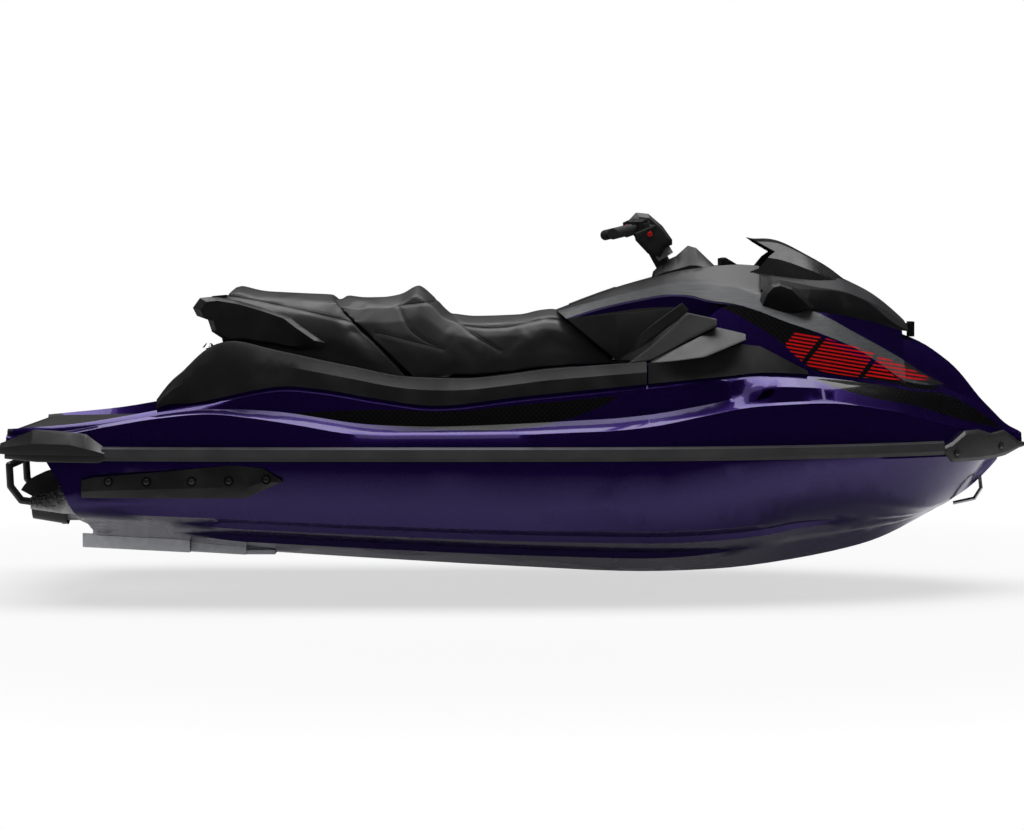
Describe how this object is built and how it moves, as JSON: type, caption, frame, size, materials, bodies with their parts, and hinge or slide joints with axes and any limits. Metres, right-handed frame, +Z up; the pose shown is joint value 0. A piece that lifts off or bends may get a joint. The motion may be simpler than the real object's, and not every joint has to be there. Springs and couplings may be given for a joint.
{
  "type": "personal watercraft",
  "caption": "Sit-on water jet craft with a V hull, stepped seat, leaning handlebar, hinged hood, jet pump and fold-down boarding step.",
  "frame": {"origin": "on the centreline at the still-water line, amidships", "axes": "+X to the bow, +Y to port, +Z up"},
  "size_m": [3.3704, 1.232, 1.1953],
  "materials": {
    "hull_paint": "gloss",
    "deck_paint": "gloss",
    "hood_paint": "gloss",
    "grey_band": "fine grain",
    "grey_panel": "fine grain",
    "black_plastic": "satin",
    "black_gloss": "gloss",
    "black_metal": "satin",
    "grip_rubber": "matte",
    "seat_vinyl": "matte with fine grain",
    "mat_foam": "matte with grooves",
    "rail_plastic": "satin",
    "cast_aluminium": "cast",
    "steel": "brushed",
    "engine_metal": "cast"
  },
  "bodies": {
    "craft": {"hull": "hull_paint", "deck": "deck_paint", "upper_cowl": "grey_band", "hood_hinge": "black_plastic", "steering_fin": "black_plastic", "display": "black_gloss", "seat_rear": "seat_vinyl", "seat_front": "seat_vinyl", "grab_handle": "black_plastic", "tow_hook": "steel", "gunwale_cover_left": "black_plastic", "gunwale_cover_right": "black_plastic", "side_cover_left": "black_plastic", "side_cover_right": "black_plastic", "knee_panel_left": "grey_panel", "knee_panel_right": "grey_panel", "footwell_mat_left": "mat_foam", "footwell_mat_right": "mat_foam", "platform_mat": "mat_foam", "rub_rail_left": "rail_plastic", "rub_rail_right": "rail_plastic", "stern_cap_left": "black_plastic", "stern_cap_right": "black_plastic", "bow_cap": "black_plastic", "sponson_left": "black_plastic", "sponson_right": "black_plastic", "ride_plate": "cast_aluminium", "intake_grate": "cast_aluminium", "pump_housing": "cast_aluminium", "step_bracket": "steel", "bow_eye": "steel", "engine": "engine_metal"},
    "hood": {"hood": "hood_paint", "visor": "black_gloss", "mirror_left": "black_plastic", "mirror_right": "black_plastic"},
    "glovebox_lid": {"glovebox_lid": "black_plastic"},
    "steering": {"handlebar": "black_metal", "bar_pad": "black_plastic", "grip_left": "grip_rubber", "grip_right": "grip_rubber"},
    "nozzle": {"nozzle": "black_metal"},
    "bucket": {"bucket": "black_metal"},
    "impeller": {"impeller": "steel"},
    "boarding_step": {"boarding_step": "black_metal"}
  },
  "joints": [
    {"name": "hood_swing", "type": "hinge", "parent": "craft", "child": "hood", "pos_m": [1.32598, 0, 0.56883], "axis": [0, 1, 0], "range_deg": [0, 50]},
    {"name": "glovebox_swing", "type": "hinge", "parent": "craft", "child": "glovebox_lid", "pos_m": [0.34402, 0, 0.68553], "axis": [0, 1, 0], "range_deg": [0, 80]},
    {"name": "steering_turn", "type": "hinge", "parent": "craft", "child": "steering", "pos_m": [0.50434, 0, 0.765], "axis": [-0.4802, 0, 0.8771], "range_deg": [-22, 22]},
    {"name": "nozzle_turn", "type": "hinge", "parent": "craft", "child": "nozzle", "pos_m": [-1.49465, 0, -0.03], "axis": [0, 0, 1], "range_deg": [-22, 22]},
    {"name": "bucket_drop", "type": "hinge", "parent": "nozzle", "child": "bucket", "pos_m": [-1.52805, 0, -0.03], "axis": [0, -1, 0], "range_deg": [0, 80]},
    {"name": "impeller_spin", "type": "hinge", "parent": "craft", "child": "impeller", "pos_m": [-1.1, 0, -0.03], "axis": [1, 0, 0], "continuous": true},
    {"name": "step_drop", "type": "hinge", "parent": "craft", "child": "boarding_step", "pos_m": [-1.55644, 0, -0.01147], "axis": [0, -1, 0], "range_deg": [0, 110]}
  ],
  "couplings": [
    {"joint": "nozzle_turn", "follows": "steering_turn", "ratio": -1}
  ]
}
